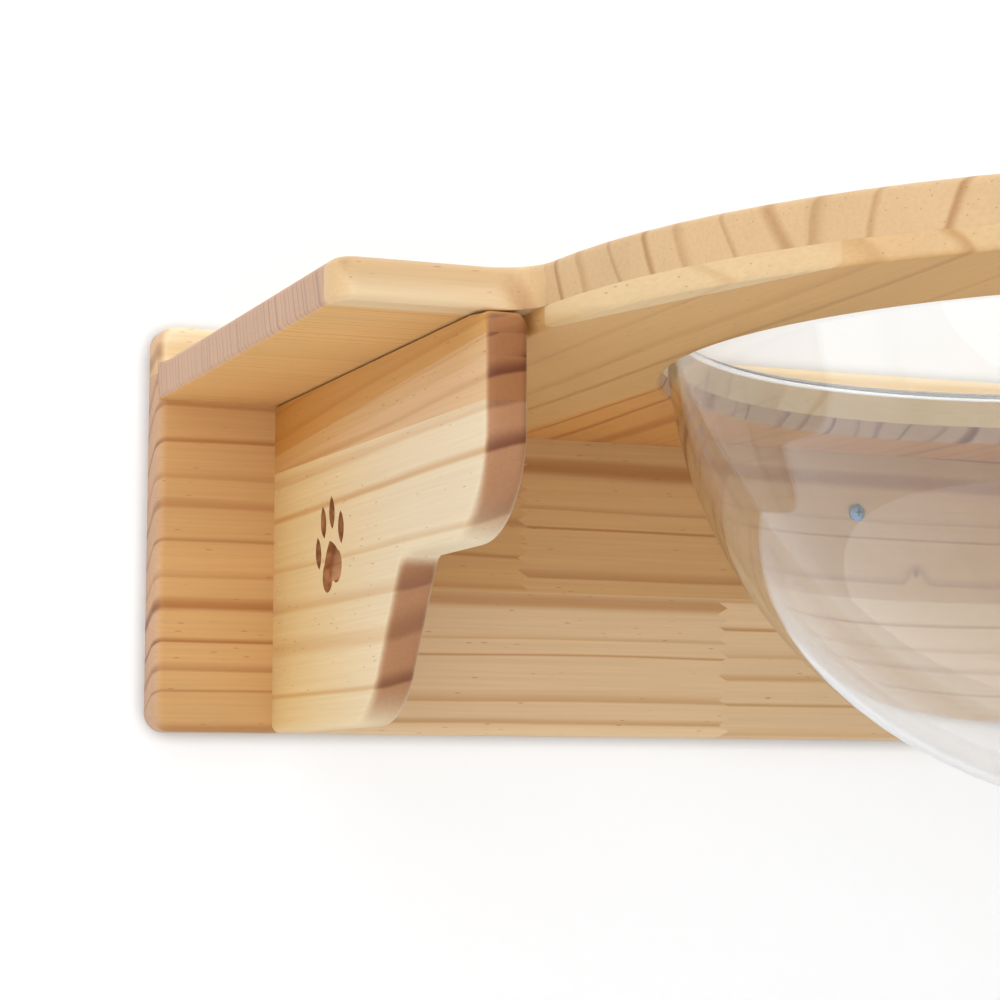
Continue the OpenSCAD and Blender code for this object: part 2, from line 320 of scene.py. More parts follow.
# %% Shelf
TOP_ROUND = 3 * MM
WING_LOW_ROUND = 2 * MM
WING_FADE = (256 * MM, 272 * MM)
SEAT_ROUND = 1 * MM
SEAT_D = 3 * MM
SEAT_R = RIM_R + BOWL_PLAY
FILLET_R = 16 * MM

fillet_y = WING_FRONT - FILLET_R
fillet_x = -math.sqrt((BULGE_R + FILLET_R) ** 2 - (BOWL_CENTRE[1] - fillet_y) ** 2)
fillet_turn = math.degrees(math.atan2(BOWL_CENTRE[1] - fillet_y, -fillet_x))
shelf_outline = both_halves(np.concatenate([
    [[shelf_low[0], BACK_FRONT]],
    arc([shelf_low[0] + CORNER_R, WING_FRONT + CORNER_R], CORNER_R, 180, 270),
    arc([fillet_x, fillet_y], FILLET_R, 90, fillet_turn),
    arc(BOWL_CENTRE[:2], BULGE_R, 180 + fillet_turn, 270)]))
off_wall = ramp(BACK_FRONT - shelf_outline[:, 1], 0, WALL_FADE)
on_wing = ramp(np.abs(shelf_outline[:, 0]), *WING_FADE)
shelf_radii = (GLUED + WING_LOW_ROUND * off_wall * on_wing, GLUED + TOP_ROUND * off_wall)
shelf_keys = [(0, 141), (230 * MM, 164), (275 * MM, 171), (300 * MM, 177)]
seat_floor = shelf_high[2] - SEAT_D
# The seat's wall ends on its floor, so its two lowest rows are left out.
seat = hole_section(SEAT_R, seat_floor, shelf_high[2], 0, SEAT_ROUND)[:-2]
shelf_hole = np.concatenate([seat, hole_section(HOLE_R, shelf_low[2], seat_floor, GLUED, SEAT_ROUND)])
shelf_board = ring_board("pine_shelf_board", shelf_outline, shelf_keys, shelf_low[2], shelf_high[2],
                         shelf_radii, shelf_hole)

# %% Support board
SUPPORT_ROUND = 1.6 * MM

support_turn = math.degrees(math.acos(support_high[0] / BULGE_R))
support_outline = both_halves(np.concatenate([[[support_low[0], BACK_FRONT]],
                                              arc(BOWL_CENTRE[:2], BULGE_R, 180 + support_turn, 270)]))
off_wall = ramp(BACK_FRONT - support_outline[:, 1], 0, WALL_FADE)
support_keys = [(0, 138), (215 * MM, 176)]
support_hole = hole_section(HOLE_R, support_low[2], support_high[2], SUPPORT_ROUND, GLUED)
support_board = ring_board("pine_support_board", support_outline, support_keys,
                           support_low[2], support_high[2],
                           (GLUED + SUPPORT_ROUND * off_wall, GLUED), support_hole)

# %% [markdown]
# ## Brackets
#
# A bracket is sawn from the same board, with a round foot, a tight waist and a full lobe under the
# shelf. Only the sawn edge is rounded: the top and the rear stay square, because they butt against the
# shelf and the back board. So the path is open. It starts on the top, a little behind the front, where
# the rounding fades out, runs down and back to the rear of the foot, and each of its points has a
# partner farther back on the straight top. The two faces lie between the path and these partners. The
# top stays a hair below the shelf, and that joint shows as a fine dark line. The right bracket is the
# same surface mirrored.

# %% Brackets
BRACKET_ROUND = 3.2 * MM
LOBE_H = 59 * MM
LOBE_L = 84 * MM
LOBE_R = 37 * MM
WAIST_R = 10 * MM
FOOT_RUN = 36 * MM
FOOT_R = 37 * MM
TOP_CORNER_R = 7 * MM
TOP_FADE = 16 * MM
TOP_REST = 40 * MM
JOINT_GAP = 0.8 * MM


def bracket(name, outer_x, inner_x):
    """The sawn edge's path carried through the rounded profile, and the faces up to the straight top."""
    front, low, top = bracket_low[1], bracket_low[2], bracket_high[2] - JOINT_GAP
    waist = front + LOBE_L
    behind = front + TOP_FADE
    path = rounded([[behind, top], [front, top], [front, low + LOBE_H], [waist, low + LOBE_H],
                    [waist + FOOT_RUN, low], [BACK_FRONT, low]],
                   [0, TOP_CORNER_R, LOBE_R, WAIST_R, FOOT_R, 0], closed=False)
    on_top = path[:, 1] > top - WELD
    fade = np.where(on_top, ramp(behind - path[:, 0], 0, TOP_FADE - TOP_CORNER_R), 1)
    inset, height = edge_profile(BOARD, GLUED + BRACKET_ROUND * fade, GLUED + BRACKET_ROUND * fade)
    edge = path[None] + inward(path, closed=False)[None] * inset[:, :, None]
    walked = walk(path)
    straight_y = np.interp(walked, [TOP_FADE, walked[-1]], [behind + TOP_REST, BACK_FRONT])
    straight = np.stack([straight_y, np.full(len(path), top)], 1)
    flat = np.concatenate([straight[None], edge, straight[None]])
    depth = np.concatenate([0 * height[:1], height, 0 * height[:1] + BOARD])
    points = np.dstack([outer_x + depth / BOARD * (inner_x - outer_x), flat])
    rows, columns = flat.shape[:2]
    index = np.arange(rows * columns).reshape(rows, columns)
    half = rows // 2
    caps = [index[:, -1], index[:half, 0], index[half:, 0],
            np.concatenate([index[0], index[-1, ::-1], index[[half, half - 1], 0]])]
    return make_object(name, points, [*grid_faces(rows, columns), *[cap.tolist() for cap in caps]])


left_bracket = bracket("pine_bracket_left", bracket_low[0], bracket_high[0])
right_bracket = bracket("pine_bracket_right", -bracket_low[0], -bracket_high[0])
print("bracket", len(left_bracket.data.polygons), "faces")

# %% [markdown]
# ## Bowl
#
# The real bowl is blown from a heated acrylic sheet, so it is a half sphere with an even wall and a flat
# rim that rolls over into it, and its outer edge is sawn. A profile turned about the bowl's axis is
# exactly how such a shape is drawn. The wall is real: glass without an inner face would not bend the
# light that passes it. The faces of the sawn edge are noted, because they get a finish of their own.

# %% Bowl
WALL = 3 * MM
ROLL_R = 5 * MM
LIFT = 0.15 * MM


def polar(radius, turn, height):
    """Grid points about the z axis from a radius, an angle and a height."""
    radius, turn, height = np.broadcast_arrays(radius, turn, height)
    return np.dstack([radius * np.cos(turn), radius * np.sin(turn), height])


def turned(profile, steps=192):
    """A profile of (radius, height) turned about the z axis."""
    turn = np.linspace(0, 2 * math.pi, steps, endpoint=False)
    return polar(profile[:, :1], turn, profile[:, 1:])


def bowl_profile(shell_r, roll_r, rim_height):
    """From the bottom up the sphere, then over a roll that touches the sphere and the flat rim."""
    roll_height = rim_height - roll_r
    roll_radius = math.sqrt((shell_r + roll_r) ** 2 - roll_height ** 2)
    touch = math.degrees(math.atan2(roll_height, roll_radius))
    sphere = arc([0, 0], shell_r, -90, touch)
    roll = arc([roll_radius, roll_height], roll_r, 180 + touch, 90)
    return np.concatenate([sphere, roll[1:]])


inside = bowl_profile(BOWL_R - WALL, ROLL_R, 0)
outside = bowl_profile(BOWL_R, ROLL_R - WALL, -WALL + LIFT)
lip_r = (WALL - LIFT) / 2
lip = arc([RIM_R - lip_r, -lip_r], lip_r, 90, -90)
bowl = loft("clear_bowl", turned(np.concatenate([inside, lip, outside[::-1]])) + BOWL_CENTRE)
face_centres = np.empty(3 * len(bowl.data.polygons))
bowl.data.polygons.foreach_get("center", face_centres)
face_radii = np.linalg.norm(face_centres.reshape(-1, 3)[:, :2] - BOWL_CENTRE[:2], axis=1)
sawn_faces = (face_radii > RIM_R - lip_r).astype(np.int32)
print(bowl.name, len(sawn_faces), "faces,", sawn_faces.sum(), "of them sawn")

# %% [markdown]
# ## Screws
#
# Three screws hold the shelf to the wall and seven hold the boards together. A thread is a ridge that
# climbs as it goes round, so it is one formula on a grid of height and angle: the radius grows where the
# height, less a share of the turn, comes to a whole number of pitches. The cross in the head has the
# shape of the driver's tip, which narrows as it goes down. It is cut once the screw has its plating, so
# that the faces of the cut can have a dark finish of their own, as painted shade in the recess.

# %% Shapes of a screw
PITCH = 1.8 * MM
PITCH_ROWS = 12
THREAD_DEPTH = 0.55 * MM
RIDGE_SHARP = 1.8
TURN_STEPS = 40
TIP = 5 * MM
SCREW_R = 2 * MM
OVERCUT = 1 * MM
CROSS_W = 0.48 * MM
CROSS_R = 2.3 * MM
TIP_REACH = 0.45
TIP_WIDTH = 0.8


def screw_body(head, shank_r, shank_end, tip_end):
    """Head and shank as a turned profile, then the thread: radius as a function of height and angle.
    The ridge is a saw-tooth up and down over each pitch, with its lower part cut off."""
    height = np.linspace(shank_end, tip_end, math.ceil((tip_end - shank_end) / PITCH * PITCH_ROWS))[:, None]
    turn = np.linspace(0, 2 * math.pi, TURN_STEPS, endpoint=False)[None]
    ridge = np.abs((height / PITCH - turn / (2 * math.pi)) % 1 - 0.5) * 2
    ridge = np.clip(ridge * RIDGE_SHARP - (RIDGE_SHARP - 1), 0, 1)
    taper = np.clip((tip_end - height) / TIP, 0, 1)
    radius = (SCREW_R - THREAD_DEPTH * (1 - ridge)) * taper
    thread = polar(radius, turn, height)
    plain = np.concatenate([head, [[shank_r, head[-1, 1]], [shank_r, shank_end]]])
    return np.concatenate([turned(plain, TURN_STEPS), thread])


def driver_tip(depth, above):
    """A cross that narrows as it goes down, until only a share of its reach and its width is left."""
    w, r = CROSS_W, CROSS_R
    cross = np.array([[w, w], [w, r], [-w, r], [-w, w], [-r, w], [-r, -w],
                      [-w, -w], [-w, -r], [w, -r], [w, -w], [r, -w], [r, w]])
    narrow = np.where(np.abs(cross) > w, cross * TIP_REACH, cross * TIP_WIDTH)
    return np.stack([np.c_[cross, np.full(12, -above)], np.c_[narrow, np.full(12, depth)]])


def facing(points, origin, direction):
    """Turns a shape drawn along +z to point along +y or -y from an origin."""
    x, y, z = np.moveaxis(points, -1, 0)
    return np.stack([x * direction, z * direction, y], -1) + np.array(origin)


# %% Screws
SHANK_R = 2.25 * MM
SUNK_SHANK = 12 * MM
HEAD_R = 4 * MM
HEAD_EDGE = 0.15 * MM
PAN_H = 2.6 * MM
PAN_DOME_R = 6 * MM
RECESS_D = 1.6 * MM

dome_turn = math.degrees(math.asin(HEAD_R / PAN_DOME_R))
pan_head = np.concatenate([arc([0, PAN_DOME_R - PAN_H], PAN_DOME_R, -90, -90 + dome_turn), [[HEAD_R, 0]]])
sunk_head = np.array([[0, 0], [HEAD_R - HEAD_EDGE, 0], [HEAD_R, HEAD_EDGE], [SCREW_R, HEAD_R - SCREW_R]])
screws = {}
tips = {}
for node in sorted(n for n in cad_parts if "screw" in n):
    low, high = span(node)
    x, _, z = (low + high) / 2
    if node.startswith("wall"):
        body = screw_body(pan_head, SHANK_R, BOARD, high[1] - BACK_FRONT)
        recess = driver_tip(RECESS_D - PAN_H, PAN_H + OVERCUT)
        origin, direction = [x, BACK_FRONT, z], 1
    else:
        body = screw_body(sunk_head, SCREW_R, SUNK_SHANK, high[1] - low[1])
        recess = driver_tip(RECESS_D, OVERCUT)
        origin, direction = [x, high[1], z], -1
    screws[node] = loft("zinc_" + node, facing(body, origin, direction))
    tips[node] = loft("zinc_" + node + "_tip", facing(recess, origin, direction), capped=True)
print(len(screws), "screws")

# %% [markdown]
# ## Dowels
#
# Beech dowels line the boards up while the screws are driven. They are bought with pressed flutes, which
# let the glue and the air out of the hole: a wave added to the radius, and a chamfer at each end.

# %% Dowels
FLUTES = 16
FLUTE_DEPTH = 0.25 * MM
FLUTE_STEPS = 8
CHAMFER = 1 * MM


def fluted_rod(radius, length):
    """Radius as a function of height and angle: flutes all round, drawn in at both ends."""
    turn = np.linspace(0, 2 * math.pi, FLUTES * FLUTE_STEPS, endpoint=False)[None]
    height = np.array([0, 0, CHAMFER, length / 2, length - CHAMFER, length, length])[:, None]
    reach = np.array([0, radius - CHAMFER, radius, radius, radius, radius - CHAMFER, 0])[:, None]
    flute = FLUTE_DEPTH * (0.5 - 0.5 * np.cos(turn * FLUTES)) ** 3
    rod = np.where(reach > 0, reach - flute, 0)
    return polar(rod, turn, height)


dowels = {}
for node in sorted(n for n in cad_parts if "dowel" in n):
    low, high = span(node)
    x, y, z = (low + high) / 2
    rod = fluted_rod((high[0] - low[0]) / 2, max(high - low))
    if node.startswith("shelf"):
        rod = facing(rod, [x, high[1], z], -1)
    else:
        rod = rod + [x, y, low[2]]
    dowels[node] = loft("beech_" + node, rod)
print(len(dowels), "dowels")

# %% [markdown]
# ## Nodes and colours
#
# Every material below is a small network. One function adds a node, sets its properties and joins its
# inputs, and one function turns the hex colours, which are written as a screen shows them, into the
# linear values that the renderer works with. Three sets of settings come up again and again: a Mix of
# two colours or of two vectors, and a Map Range that eases in and out.

# %% Material helpers
COLOURS = {"data_type": "RGBA", "out": 2}
VECTORS = {"data_type": "VECTOR", "out": 1}
EASED = {"interpolation_type": "SMOOTHSTEP"}


def linear(code):
    """An sRGB hex colour as linear red, green, blue and alpha."""
    parts = np.array([int(code[i:i + 2], 16) for i in (1, 3, 5)]) / 255
    parts = np.where(parts <= 0.04045, parts / 12.92, ((parts + 0.055) / 1.055) ** 2.4)
    return (*parts.tolist(), 1.0)


def add(tree, kind, inputs, out=0, **settings):
    """Adds a node with its settings. An input that is a socket is linked, any other value is set."""
    made = tree.nodes.new("ShaderNode" + kind)
    for name, value in settings.items():
        setattr(made, name, value)
    for key, value in inputs.items():
        if isinstance(value, bpy.types.NodeSocket):
            tree.links.new(value, made.inputs[key])
        else:
            made.inputs[key].default_value = value
    return made.outputs[out] if made.outputs else made


def new_material(name):
    """A material with an empty network, and that network."""
    made = bpy.data.materials.new(name)
    made.use_nodes = True
    made.node_tree.nodes.clear()
    return made, made.node_tree


# %% [markdown]
# ## Pine: zones
#
# The boards are pine, glued up from staves, sanded and lightly oiled. A stave has its own place in the
# tree, so it has its own pith, ring spacing and tones. The same goes for heartwood, which is more orange
# than the sapwood round it. Both are zones here: a zone has straight limits on the board, and the later
# zones cover the earlier ones. Where two staves meet end to end, the limit is a finger joint, a zigzag.
# All lengths in the pine are in mm.

# %% Zones of a board
FINGER = 2.7
FINGER_STEEP = 1.7
ZONE_SHIFT = (310.0, 40.0)


def zone(pith, spacing, tones, slope=0.0, where=()):
    """A stave or a band of heartwood, whose tones may also carry painted light or shade. The pith is given
    across and through the board, the spacing of the rings in mm, and the tones are early and late wood,
    then the same on the end grain.
    A limit in where is an axis, a comparison, a place in mm, and its slope along the grain."""
    return {"pith": (0.0, *pith), "spacing": spacing, "slope": slope, "tones": tones, "where": where}


def zone_mask(tree, along, across, where):
    """1 inside all the limits of a zone, and 0 elsewhere. A limit along the grain goes to and fro
    with the place across it, which draws the fingers of the joint."""
    mask = None
    for axis, operation, limit, slope in where:
        if axis == "along":
            finger = add(tree, "Math", {0: across, 1: FINGER}, operation="PINGPONG")
            place = add(tree, "Math", {0: finger, 1: FINGER_STEEP, 2: along}, operation="MULTIPLY_ADD")
        else:
            place = add(tree, "Math", {0: along, 1: slope, 2: across}, operation="MULTIPLY_ADD")
        test = add(tree, "Math", {0: place, 1: limit}, operation=operation)
        mask = add(tree, "Math", {0: mask, 1: test}, operation="MULTIPLY") if mask else test
    return mask


def lay_zones(tree, along, across, zones):
    """What each point takes from its zone: pith, spacing, slope, four tones and a shift of the noise."""
    first = zones[0]
    pith, spacing, slope, shift = first["pith"], first["spacing"], first["slope"], (0.0, 0.0, 0.0)
    tones = [linear(tone) for tone in first["tones"]]
    for number, cover in enumerate(zones[1:], 1):
        mask = zone_mask(tree, along, across, cover["where"])
        own_shift = (ZONE_SHIFT[0] * number, ZONE_SHIFT[1] * number, 0.0)
        pith = add(tree, "Mix", {0: mask, 4: pith, 5: cover["pith"]}, **VECTORS)
        shift = add(tree, "Mix", {0: mask, 4: shift, 5: own_shift}, **VECTORS)
        spacing = add(tree, "Mix", {0: mask, 2: spacing, 3: cover["spacing"]}, data_type="FLOAT")
        slope = add(tree, "Mix", {0: mask, 2: slope, 3: cover["slope"]}, data_type="FLOAT")
        tones = [add(tree, "Mix", {0: mask, 6: tone, 7: linear(new)}, **COLOURS)
                 for tone, new in zip(tones, cover["tones"])]
    return pith, spacing, slope, shift, tones


# %% [markdown]
# ## Pine: growth rings
#
# A growth ring is a cylinder round the tree's pith: pale earlywood that darkens slowly into orange
# latewood and ends at a line. So the pattern is solid, worked out from the distance to the pith,
# and it runs over edges and into the end grain as it does in a real board. Dividing the distance by the
# spacing gives a number whose whole part is the ring and whose fraction is the place within it. Lengths
# in threes are along, across and through the grain.

# %% Growth rings
SLOW_SWAY = (260.0, 60.0, 24.0)
QUICK_SWAY = (90.0, 16.0, 16.0)
QUICK_SIZE = 0.7
UNEVEN = 0.9
UNEVEN_RATE = 0.8


def place_in_mm(tree):
    """The place on the object, which stays with the piece when it moves."""
    spot = add(tree, "TexCoord", {}, out="Object")
    return add(tree, "VectorMath", {0: spot, "Scale": 1 / MM}, operation="SCALE")


def stretched(tree, place, lengths, detail=1.0, out=0):
    """Noise whose features have these lengths along, across and through the grain."""
    scaled = add(tree, "VectorMath", {0: place, 1: tuple(1 / size for size in lengths)}, operation="MULTIPLY")
    return add(tree, "TexNoise", {"Vector": scaled, "Scale": 1.0, "Detail": detail}, out=out)


def ring_number(tree, grain, own, along, pith, spacing, slope, sway):
    """Distance to the pith, which sways slowly along the tree, counted in rings of uneven width."""
    place = grain
    for lengths, size in [(SLOW_SWAY, sway), (QUICK_SWAY, QUICK_SIZE)]:
        drift = stretched(tree, own, lengths, out=1)
        drift = add(tree, "VectorMath", {0: drift, 1: (0.5, 0.5, 0.5)}, operation="SUBTRACT")
        place = add(tree, "VectorMath", {0: drift, 1: (0.0, 2 * size, 2 * size), 2: place},
                    operation="MULTIPLY_ADD")
    climb = add(tree, "Math", {0: along, 1: slope}, operation="MULTIPLY")
    climb = add(tree, "CombineXYZ", {1: climb})
    place = add(tree, "VectorMath", {0: place, 1: climb}, operation="ADD")
    place = add(tree, "VectorMath", {0: place, 1: pith}, operation="SUBTRACT")
    flat = add(tree, "VectorMath", {0: place, 1: (0.0, 1.0, 1.0)}, operation="MULTIPLY")
    distance = add(tree, "VectorMath", {0: flat}, out=1, operation="LENGTH")
    rings = add(tree, "Math", {0: distance, 1: spacing}, operation="DIVIDE")
    uneven = add(tree, "TexNoise", {"W": rings, "Scale": UNEVEN_RATE, "Detail": 0.0}, noise_dimensions="1D")
    return add(tree, "Math", {0: uneven, 1: UNEVEN, 2: rings}, operation="MULTIPLY_ADD")


# %% Latewood
LATE_START = (0.55, 0.82)
LATE_FULL = 0.9
LATE_STRENGTH = (0.35, 1.0)


def latewood(tree, rings, end, soak):
    """How far a point is into the latewood: a slow rise, then a quick fall. Rings differ by chance.
    On end grain the rise starts earlier by the amount that soaks in there."""
    phase = add(tree, "Math", {0: rings}, operation="FRACT")
    ring = add(tree, "Math", {0: rings}, operation="FLOOR")
    chance = add(tree, "TexWhiteNoise", {"W": ring}, out=1, noise_dimensions="1D")
    chance = add(tree, "SeparateColor", {0: chance}).node
    start = add(tree, "MapRange", {0: chance.outputs[0], 3: LATE_START[0], 4: LATE_START[1]})
    start = add(tree, "Math", {0: end, 1: -soak, 2: start}, operation="MULTIPLY_ADD")
    strength = add(tree, "MapRange", {0: chance.outputs[1], 3: LATE_STRENGTH[0], 4: LATE_STRENGTH[1]})
    rise = add(tree, "MapRange", {0: phase, 1: start, 2: LATE_FULL}, **EASED)
    fall = add(tree, "MapRange", {0: phase, 1: LATE_FULL, 2: 1.0, 3: 1.0, 4: 0.0}, **EASED)
    mark = add(tree, "Math", {0: rise, 1: fall}, operation="MULTIPLY")
    return add(tree, "Math", {0: mark, 1: strength}, operation="MULTIPLY")


# %% [markdown]
# ## Pine: the finished surface
#
# Finer layers go over the rings: broad changes of tone, fibres about a millimetre wide, and resin
# canals, which show as short dark flecks in rows. Where the surface faces along the grain it is end
# grain, which soaks up more oil: it is darker and redder, and its latewood bands are wider. Towards one
# end of its grain a board may get painted shade and warm bounce light, and it may have a small knot,
# round which the rings bend.

# %% Layers of the pine
BROAD = (420.0, 48.0, 48.0)
FIBRE = (70.0, 1.1, 1.1)
CANAL = (13.0, 2.1, 2.1)
CANAL_PATCH = (70.0, 8.0, 8.0)
CANAL_STRENGTH = 0.45
CANAL_BROWN = "#8A5A34"
KNOT_SHAPE = (0.6, 0.45, 0.0)
KNOT_BROWN = "#7E5438"
# The tint of painted shade and warm bounce light near the back board, which the colour is multiplied by.
BOUNCE_SHADE_TINT = "#FBE9C0"


def tone_layers(tree, own):
    """A factor for the colour from broad and fine noise, the flecks, and the height of the fibres."""
    broad = stretched(tree, own, BROAD, 2.0)
    broad = add(tree, "MapRange", {0: broad, 1: 0.25, 2: 0.75, 3: 0.94, 4: 1.06})
    fibre = stretched(tree, own, FIBRE, 3.0)
    fine = add(tree, "MapRange", {0: fibre, 1: 0.25, 2: 0.75, 3: 0.95, 4: 1.05})
    shade = add(tree, "Math", {0: broad, 1: fine}, operation="MULTIPLY")
    cells = add(tree, "VectorMath", {0: own, 1: tuple(1 / size for size in CANAL)}, operation="MULTIPLY")
    cells = add(tree, "TexVoronoi", {"Vector": cells, "Scale": 1.0})
    flecks = add(tree, "MapRange", {0: cells, 1: 0.07, 2: 0.15, 3: CANAL_STRENGTH, 4: 0.0}, **EASED)
    patches = add(tree, "MapRange", {0: stretched(tree, own, CANAL_PATCH), 1: 0.43, 2: 0.55}, **EASED)
    return shade, add(tree, "Math", {0: flecks, 1: patches}, operation="MULTIPLY"), fibre


def knot_distance(tree, grain, knot):
    """How far a point is from the middle of a knot, counted so that the knot lies along the fibres."""
    far = add(tree, "VectorMath", {0: grain, 1: (*knot, 0.0)}, operation="SUBTRACT")
    far = add(tree, "VectorMath", {0: far, 1: KNOT_SHAPE}, operation="MULTIPLY")
    return add(tree, "VectorMath", {0: far}, out=1, operation="LENGTH")


def end_grain(tree, axis):
    """1 where the surface faces along the grain, and 0 where it lies along it."""
    normal = add(tree, "TexCoord", {}, out="Normal")
    normal = add(tree, "SeparateXYZ", {0: normal}, out=axis)
    normal = add(tree, "Math", {0: normal}, operation="ABSOLUTE")
    return add(tree, "MapRange", {0: normal, 1: 0.12, 2: 0.85}, **EASED)


# %% Pine
# Oiled pine gives the eye broad soft bands of orange on cream, and a sheen but no mirror.
def pine(name, axes, zones, seed, sway=3.0, soak=0.0, painted_bounce=None, knot=None):
    """Pine whose grain runs along the first of the axes, and whose rings cross the other two."""
    made, tree = new_material(name)
    split = add(tree, "SeparateXYZ", {0: place_in_mm(tree)}).node
    along, across, through = [split.outputs[axis] for axis in axes]
    grain = add(tree, "CombineXYZ", {0: along, 1: across, 2: through})
    pith, spacing, slope, shift, tones = lay_zones(tree, along, across, zones)
    own = add(tree, "VectorMath", {0: grain, 1: shift}, operation="ADD")
    own = add(tree, "VectorMath", {0: own, 1: (seed, 0.0, 0.0)}, operation="ADD")
    rings = ring_number(tree, grain, own, along, pith, spacing, slope, sway)
    if knot:
        far = knot_distance(tree, grain, knot)
        bend = add(tree, "MapRange", {0: far, 1: 0.0, 2: 6.0, 3: 0.4, 4: 0.0}, **EASED)
        rings = add(tree, "Math", {0: bend, 1: rings}, operation="ADD")

    end = end_grain(tree, axes[0])
    mark = latewood(tree, rings, end, soak)
    pale = add(tree, "Mix", {0: end, 6: tones[0], 7: tones[2]}, **COLOURS)
    dark = add(tree, "Mix", {0: end, 6: tones[1], 7: tones[3]}, **COLOURS)
    colour = add(tree, "Mix", {0: mark, 6: pale, 7: dark}, **COLOURS)
    shade, flecks, fibre = tone_layers(tree, own)
    shade = add(tree, "CombineXYZ", {0: shade, 1: shade, 2: shade})
    colour = add(tree, "Mix", {0: 1.0, 6: colour, 7: shade}, blend_type="MULTIPLY", **COLOURS)
    colour = add(tree, "Mix", {0: flecks, 6: colour, 7: linear(CANAL_BROWN)}, **COLOURS)
    # Painted shade and warm bounce light: towards one end of the grain the colour is multiplied by a warm
    # tint.
    if painted_bounce:
        rear = add(tree, "MapRange", {0: along, 1: painted_bounce[0], 2: painted_bounce[1]}, **EASED)
        colour = add(tree, "Mix", {0: rear, 6: colour, 7: linear(BOUNCE_SHADE_TINT)}, blend_type="MULTIPLY",
                     **COLOURS)
    if knot:
        core = add(tree, "MapRange", {0: far, 1: 0.6, 2: 1.3, 3: 0.6, 4: 0.0}, **EASED)
        colour = add(tree, "Mix", {0: core, 6: colour, 7: linear(KNOT_BROWN)}, **COLOURS)

    rough = add(tree, "MapRange", {0: mark, 3: 0.5, 4: 0.42})
    relief = add(tree, "Math", {0: flecks, 1: -0.6, 2: fibre}, operation="MULTIPLY_ADD")
    bump = add(tree, "Bump", {"Height": relief, "Strength": 0.1, "Distance": 0.4 * MM})
    shader = add(tree, "BsdfPrincipled", {"Base Color": colour, "Roughness": rough, "Normal": bump,
                                          "Specular IOR Level": 0.25})
    add(tree, "OutputMaterial", {"Surface": shader})
    return made


# %% [markdown]
# ## Pine: the boards
#
# Each board has its own staves. The back board is a panel of short staves with finger joints, the shelf
# has fine rings at the ends of its wings and broad staves in the bulge, the grain of the board under it
# runs from front to rear, and the brackets are cut with a band of heartwood along their top. A list of
# tones holds the early and the late wood, then the same two on the end grain.

# %% Back board's pine
BACK_END = ["#C9A282", "#8A5A3C"]
BACK_LEFT = ["#CCA06A", "#A9713E", *BACK_END]
# The upper staves are partly their wood and partly painted shade under the shelf: their tones are darker.
BACK_UPPER_AND_SHADE = ["#CCA26E", "#A16632", *BACK_END]
BACK_LOWER = ["#DCBD94", "#B9824A", *BACK_END]
# Painted light: the strip along the back board's top, lit from above, gets paler tones than its wood.
BACK_TOP_PAINTED_LIGHT = ["#F3DFBB", "#E8CB9E", "#D8B48C", "#A87C58"]
LOWER_HALF = ("across", "LESS_THAN", -39.0, 0.0)
pine_back = pine("pine_back_panel", ["X", "Z", "Y"], [
    zone((230.0, 60.0), 13.2, BACK_UPPER_AND_SHADE),
    zone((170.0, 150.0), 10.0, BACK_LEFT, where=[("along", "LESS_THAN", -157.0, 0.0)]),
    zone((165.0, 40.0), 12.4, BACK_LOWER, where=[LOWER_HALF, ("along", "GREATER_THAN", -262.0, 0.0)]),
    zone((205.0, 25.0), 11.6, BACK_LOWER, where=[LOWER_HALF, ("along", "GREATER_THAN", -62.0, 0.0)]),
    zone((230.0, 60.0), 11.0, BACK_TOP_PAINTED_LIGHT, where=[("across", "GREATER_THAN", 46.0, 0.0)])],
    seed=0.0, knot=(31.0, -27.0))
print(pine_back.name, len(pine_back.node_tree.nodes), "nodes")

# %% Shelf's pine
# The wings' orange is partly their wood and partly painted shade, warm with light thrown back by the wood.
WING_AND_SHADE = ["#E1B67B", "#CB995F", "#C6A084", "#9E7A68"]
WING_CORE = ["#EBCA9C", "#DCB482", "#EBCFAA", "#D2AA82"]
WING_EDGE = ["#DDC49D", "#D0AE82", "#DAB88A", "#C0966A"]
BULGE = ["#D8B88D", "#B78C5E", "#D2B085", "#AE8256"]
pine_shelf = pine("pine_shelf_panel", ["X", "Y", "Z"], [
    zone((-600.0, 200.0), 4.4, WING_AND_SHADE),
    zone((-600.0, 200.0), 13.0, WING_CORE, where=[("along", "GREATER_THAN", -240.0, 0.0),
                                                 ("along", "LESS_THAN", 240.0, 0.0)]),
    zone((-600.0, 200.0), 14.0, WING_EDGE, where=[("across", "LESS_THAN", -236.0, 0.0)]),
    zone((-420.0, 95.0), 17.0, BULGE, where=[("across", "LESS_THAN", -263.0, 0.0)]),
    zone((-470.0, 90.0), 17.0, BULGE, where=[("across", "LESS_THAN", -313.0, 0.0)]),
    zone((-560.0, 5.0), 16.0, BULGE, where=[("across", "LESS_THAN", -378.0, 0.0)])],
    seed=900.0, sway=2.0)
print(pine_shelf.name, len(pine_shelf.node_tree.nodes), "nodes")

# %% Support board's pine
SUPPORT_END = ["#DBB98C", "#C49A68"]
SUPPORT = ["#D5A86D", "#BE8C51", *SUPPORT_END]
SUPPORT_EDGE = ["#E2C598", "#D3AE7B", *SUPPORT_END]
SUPPORT_REAR = ["#D59A58", "#B6743A", "#C9A283", "#7C4E38"]
pine_support = pine("pine_support_panel", ["Y", "X", "Z"], [
    zone((-330.0, -60.0), 18.0, SUPPORT),
    zone((-330.0, -60.0), 18.0, SUPPORT_EDGE, where=[("across", "LESS_THAN", -336.0, 0.3235)]),
    zone((-260.0, 190.0), 12.0, SUPPORT_REAR, where=[("across", "GREATER_THAN", -168.0, 0.02),
                                                    ("along", "GREATER_THAN", -250.0, 0.0)]),
    zone((330.0, -60.0), 18.0, SUPPORT, where=[("across", "GREATER_THAN", 158.0, 0.02)])],
    seed=1700.0, sway=7.0)
print(pine_support.name, len(pine_support.node_tree.nodes), "nodes")

